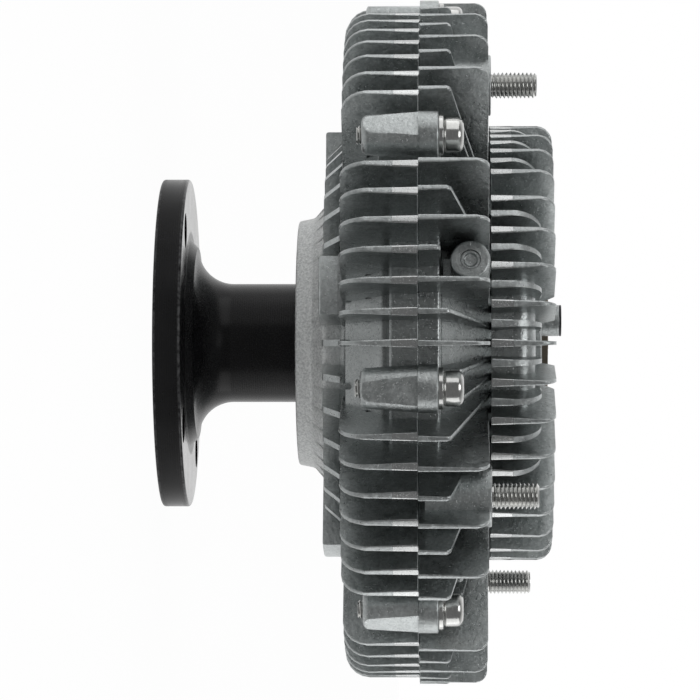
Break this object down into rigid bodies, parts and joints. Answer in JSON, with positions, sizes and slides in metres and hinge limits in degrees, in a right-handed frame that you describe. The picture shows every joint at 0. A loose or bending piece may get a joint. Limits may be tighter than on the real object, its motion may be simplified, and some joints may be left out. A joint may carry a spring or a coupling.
{
  "type": "viscous fan clutch",
  "caption": "Viscous clutch for an engine cooling fan: a flanged drive shaft carries a finned cast housing with fan studs, an oil valve and a bimetal coil.",
  "frame": {"origin": "centre of the input flange's mounting face", "axes": "+Z along the clutch axis, from the input flange towards the fan"},
  "size_m": [0.2172, 0.2172, 0.1261],
  "materials": {
    "black_steel": "black phosphated forged steel, turned faces",
    "cast_aluminium": "as-cast aluminium with machined fin tips",
    "machined_aluminium": "machined aluminium",
    "plain_steel": "bright zinc-coated steel",
    "bearing_steel": "ground bearing steel",
    "spring_steel": "dark blued spring steel",
    "cage_brass": "plain brass",
    "bimetal": "rolled bimetal strip, slightly tinted",
    "black_rubber": "black sealing rubber",
    "dark_plastic": "dark heat-resistant plastic"
  },
  "bodies": {
    "input": {"input_flange_shaft": "black_steel", "bearing_inner_ring": "bearing_steel", "drive_disc": "machined_aluminium", "disc_ring": "spring_steel"},
    "ball_set": {"bearing_balls": "bearing_steel", "bearing_cage": "cage_brass"},
    "housing": {"rear_housing": "cast_aluminium", "front_cover": "cast_aluminium", "bearing_outer_ring": "bearing_steel", "bearing_seal_rear": "black_rubber", "bearing_seal_front": "black_rubber", "bearing_circlip": "spring_steel", "separator_plate": "plain_steel", "wiper_blocks": "dark_plastic", "cover_o_ring": "black_rubber", "cover_screws": "plain_steel", "cover_washers": "plain_steel", "fan_studs": "plain_steel", "passage_plugs": "machined_aluminium", "valve_bush": "cage_brass", "bimetal_coil": "bimetal", "coil_cap": "spring_steel"},
    "valve": {"valve_shaft": "plain_steel", "valve_arm": "plain_steel", "valve_o_ring": "black_rubber", "valve_clip": "spring_steel"}
  },
  "joints": [
    {"name": "housing_spin", "type": "hinge", "parent": "input", "child": "housing", "pos_m": [0, 0, 0.056], "axis": [0, 0, 1], "continuous": true},
    {"name": "ball_set_spin", "type": "hinge", "parent": "input", "child": "ball_set", "pos_m": [0, 0, 0.056], "axis": [0, 0, 1], "continuous": true},
    {"name": "valve_turn", "type": "hinge", "parent": "housing", "child": "valve", "pos_m": [0, 0, 0.109], "axis": [0, 0, 1], "range_deg": [0, 30], "stiffness_Nm_per_rad": 0.02, "deforming": ["bimetal_coil"]}
  ],
  "couplings": [
    {"joint": "ball_set_spin", "follows": "housing_spin", "ratio": 0.6033}
  ]
}
